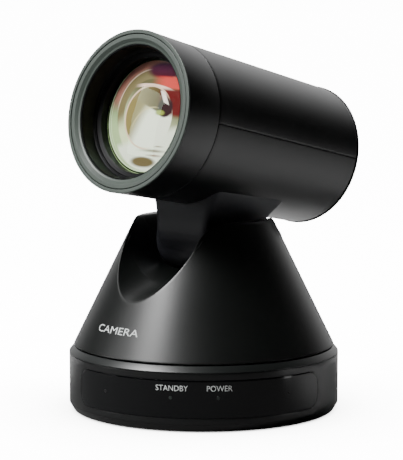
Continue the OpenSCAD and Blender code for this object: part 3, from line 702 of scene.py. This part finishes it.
# The neck: at each height a superellipse between its front, rear and sides, the values
# carried smoothly between the stations
def makeNeck():
    g = neckShape
    h = np.linspace(g["height"][0], g["height"][-1], 60)
    front, rear, half = (np.interp(h, g["height"], g[k]) for k in ("front", "rear", "half"))
    kernel = np.array([1, 2, 3, 2, 1]) / 9
    front, rear, half = (np.convolve(np.pad(v, 2, mode="edge"), kernel, "valid") for v in (front, rear, half))
    a = np.linspace(0, 2 * math.pi, 160, endpoint=False)
    n = g["boxiness"]
    cosine = np.sign(np.cos(a)) * np.abs(np.cos(a)) ** (2 / n)
    sine = np.sign(np.sin(a)) * np.abs(np.sin(a)) ** (2 / n)
    middle, reach = (front + rear) / 2, (front - rear) / 2
    skin = np.stack([half[:, None] * sine, h[:, None] + 0 * sine,
                     middle[:, None] + reach[:, None] * cosine], -1)
    shut = [np.stack([0 * a, 0 * a + h[i], 0 * a + middle[i]], -1)[None] for i in (0, -1)]
    body = np.concatenate([shut[0], skin, shut[1]])
    r, w = g["drumRadius"], g["drumHalf"]
    loop = rounded([(0, -w), (r, -w), (r, w), (0, w)], [0, 0.9, 0.9, 0])
    drum = turned(loop, 140)[..., [2, 1, 0]]
    return makePiece("neckShell", [{"points": onTilt(body), "closeCols": True},
                                   {"points": onTilt(drum), "closeRows": True}],
                     "head", looks["neck_grey"], replaces=("neck",), sharp=35)


makeNeck()
print("neck ready")


# ---- Head ----

shellLook = {"thick": 1.8, "edge": 0.16, "gap": 0.12}


def shellRadius(s):
    g = headSize
    return np.interp(s, [g["rear"], g["seam"]], [g["rearRadius"], g["seamRadius"]])


# Half tube: (R(s) sin a, R(s) cos a, s), the angle kept back from the parting by half the gap
def makeShell(name, top, node):
    s = np.linspace(headSize["rear"] + 0.1, headSize["seam"] - 0.1, 60)
    back = math.degrees(shellLook["gap"] / 2 / 33)
    a = np.radians(np.linspace(-90 + back, 90 - back, 120) + (0 if top else 180))[:, None]
    r = shellRadius(s)[None, :]
    points = onHead(np.stack([r * np.sin(a), r * np.cos(a), s[None, :] + 0 * a], -1))
    core = (pivot + headSize["rise"] * headUp)
    return makePiece(name, [{"points": points}], "head", looks["head_black"], inside=core,
                     thick=shellLook["thick"], bevel=shellLook["edge"], replaces=(node,), sharp=0)


# Closed ring: a rounded loop of (radius, along) turned about the head's axis
def makeRing(name, corners, radii, slot, replaces=(), look=None, steps=5):
    grid = {"points": onHead(turned(rounded(corners, radii, steps), 200)), "closeRows": True, "closeCols": True}
    return makePiece(name, [grid], "head", look or looks[slot], replaces=replaces)


makeShell("shellUpper", True, "head_top")
makeShell("shellLower", False, "head_bottom")
makeRing("frontSleeve", [(32.3, 39.02), (34.2, 39.02), (35.0, 58.4), (33.5, 58.4), (33.5, 55), (32.3, 47)],
         [0, 0.22, 0.1, 0, 0, 0], "head_black", ("front_sleeve",))
makeRing("rimTrim", [(33.35, 57.6), (33.5, 58.45), (35.02, 58.45), (35.05, 59.28), (33.35, 59.28)],
         [0, 0, 0.1, 0.35, 0.15], "ring_grey")
makeRing("frontRing", [(29.05, 55.4), (33.0, 55.4), (33.0, 59.1), (31.2, 59.1), (29.9, 58.0), (29.05, 57.75)],
         [0, 0, 0.2, 0.2, 0.15, 0.12], "ring_grey", ("front_ring",))
makeRing("tubeLiner", [(28.9, 57.5), (28.55, 57.5), (28.3, 56.9), (28.1, 50.7), (27.4, 50.25), (27.4, 49.95),
                       (28.9, 49.95)],
         [0, 0.1, 0.1, 0.1, 0.12, 0.1, 0], "hood_black", ("lens_hood",))
makeRing("glassRetainer", [(28.5, 49.85), (27.25, 49.85), (26.9, 49.3), (25.4, 48.95), (25.05, 48.75),
                           (24.95, 45.2), (28.5, 45.2)],
         [0, 0.1, 0.1, 0.1, 0.12, 0.1, 0], "hood_black", ("retaining_ring",))
rear = headSize["rear"]
makeRing("rearCap", [(0, rear + 0.3), (0, rear - 1.2), (24.0, rear - 1.2), (24.6, rear - 1.7),
                     (30.2, rear - 1.7), (31.6, rear - 0.9), (31.6, rear - 0.02), (29.3, rear - 0.02), (29.3, rear + 0.3)],
         [0, 0, 0.3, 0.3, 0.9, 0.3, 0.12, 0, 0], "head_black", ("rear_cap",))
print("head ready")


# ---- Optics ----

glassShape = {"radius": 24.9, "edge": 45.9, "crown": 2.6, "thick": 0.5,
              "innerRadius": 24.9, "innerEdge": 45.1, "innerCrown": 1.0, "innerThick": 1.0}


# Dome on the lens axis: (r sin a, r cos a, edge + crown (1 - r^2 / R^2))
def makeDome(name, radius, edge, crown, thick, look, replaces=()):
    r = np.linspace(0, radius, 40)
    profile = np.stack([r, edge + crown * (1 - (r / radius) ** 2)], -1)
    under = np.stack([r[::-1], profile[::-1, 1] - thick], -1)
    loop = np.concatenate([profile, under])
    grid = {"points": onHead(turned(loop, 160)), "closeRows": True}
    return makePiece(name, [grid], "head", look, replaces=replaces)


g = glassShape
makeDome("frontDome", g["radius"], g["edge"], g["crown"], g["thick"],
         looks["front_glass"], ("front_lens",))
# the inner dome wears the painted reflections of the lens coatings
makeDome("innerOptics", g["innerRadius"], g["innerEdge"], g["innerCrown"], g["innerThick"],
         paintedReflectionLook)
print("optics ready")


# ---- Stage, light and camera ----

# White paper: it shines evenly where the camera sees it, and a painted contact shadow (ambient occlusion) dims it
# where the object stands close, and the object finds it darker in front than behind, a smooth step of the place
def makeFloor():
    mesh = bpy.data.meshes.new("floor")
    w = 6.0
    mesh.from_pydata([(-w, -w, 0), (w, -w, 0), (w, w, 0), (-w, w, 0)], [], [(0, 1, 2, 3)])
    floor = bpy.data.objects.new("floor", mesh)
    bpy.context.scene.collection.objects.link(floor)
    look = Look("floorPaper")
    seen = Wire(look, look.node("ShaderNodeLightPath").outputs["Is Camera Ray"])
    # painted contact shadow: ambient occlusion darkens the floor's shine where the object stands close
    near = look.node("ShaderNodeAmbientOcclusion", {"samples": 8}, {"Distance": 0.05}).outputs["AO"]
    shine = seen * Wire(look, near).math("POWER", 0.9)
    behind = look.step(look.along((0.4, 0.9, 0), (0, 0, 0)), -20.0, 60.0)
    mesh.materials.append(look.finish({
        "Base Color": look.blend(behind, (0.16, 0.16, 0.16, 1), (0.86, 0.86, 0.86, 1)), "Roughness": 0.7,
        "Specular IOR Level": 0.1, "Emission Color": look.blend(shine, (0, 0, 0, 1), (1, 1, 1, 1)),
        "Emission Strength": stageLight["white"]}))


stageLight = {"white": 14.0, "front": 0.008, "back": 1.3}
lightPlan = {  # centre, aimed-at point, width, height in metres, power in watts
    "keyLeft": [(-0.70, -0.42, 0.95), (0, 0, 0.07), 0.4, 0.4, 30.0],
    "sideLeft": [(-1.25, -0.17, 0.38), (0, 0, 0.1), 0.35, 0.5, 2.0],
    "stripRight": [(0.165, -0.07, 0.02), (0.04, -0.045, 0.012), 0.02, 0.04, 0.006],
}


def makeLights():
    for name, (centre, target, width, height, power) in lightPlan.items():
        light = bpy.data.lights.new(name, "AREA")
        light.shape = "RECTANGLE"
        light.size, light.size_y, light.energy = width, height, power
        lamp = bpy.data.objects.new(name, light)
        lamp.location = centre
        lamp.rotation_euler = (Vector(target) - Vector(centre)).to_track_quat("-Z", "Y").to_euler()
        bpy.context.scene.collection.objects.link(lamp)


# White where the camera looks; for the object it is dark in front and rises, as a smooth step of
# the direction's part towards the back and the top, to a bright sweep behind
def makeWorld():
    world = bpy.data.worlds.new("studio")
    bpy.context.scene.world = world
    world.use_nodes = True
    nodes, links = world.node_tree.nodes, world.node_tree.links
    nodes.clear()
    out = nodes.new("ShaderNodeOutputWorld")
    seen, lit = nodes.new("ShaderNodeBackground"), nodes.new("ShaderNodeBackground")
    pick = nodes.new("ShaderNodeMixShader")
    seen.inputs["Strength"].default_value = stageLight["white"]
    seen.inputs["Color"].default_value = (1, 1, 1, 1)
    lit.inputs["Color"].default_value = (1, 1, 1, 1)
    way, dot = nodes.new("ShaderNodeTexCoord"), nodes.new("ShaderNodeVectorMath")
    rise = nodes.new("ShaderNodeMapRange")
    dot.operation = "DOT_PRODUCT"
    dot.inputs[1].default_value = (0, 0.88, 0.47)
    rise.interpolation_type = "SMOOTHSTEP"
    rise.inputs["From Min"].default_value = 0.55
    rise.inputs["From Max"].default_value = 1.0
    rise.inputs["To Min"].default_value = stageLight["front"]
    rise.inputs["To Max"].default_value = stageLight["back"]
    links.new(way.outputs["Generated"], dot.inputs[0])
    links.new(dot.outputs["Value"], rise.inputs["Value"])
    links.new(rise.outputs[0], lit.inputs["Strength"])
    path = nodes.new("ShaderNodeLightPath")
    links.new(path.outputs["Is Camera Ray"], pick.inputs[0])
    links.new(lit.outputs[0], pick.inputs[1])
    links.new(seen.outputs[0], pick.inputs[2])
    links.new(pick.outputs[0], out.inputs["Surface"])


cameraPlan = {"azimuth": 3.8, "distance": 1.018, "height": 0.20346, "pitch": 7.0, "turn": 0.055,
              "lens": 183.1}


def makeCamera():
    g = cameraPlan
    a = math.radians(g["azimuth"])
    view = bpy.data.cameras.new("camera")
    view.lens, view.sensor_width = g["lens"], 36.0
    view.clip_start, view.clip_end = 0.05, 60
    camera = bpy.data.objects.new("camera", view)
    camera.location = (g["distance"] * math.sin(a), -g["distance"] * math.cos(a), g["height"])
    camera.rotation_euler = (math.radians(90 - g["pitch"]), 0, a + math.radians(g["turn"]))
    bpy.context.scene.collection.objects.link(camera)
    bpy.context.scene.camera = camera


makeFloor()
makeLights()
makeWorld()
makeCamera()
print("stage ready")
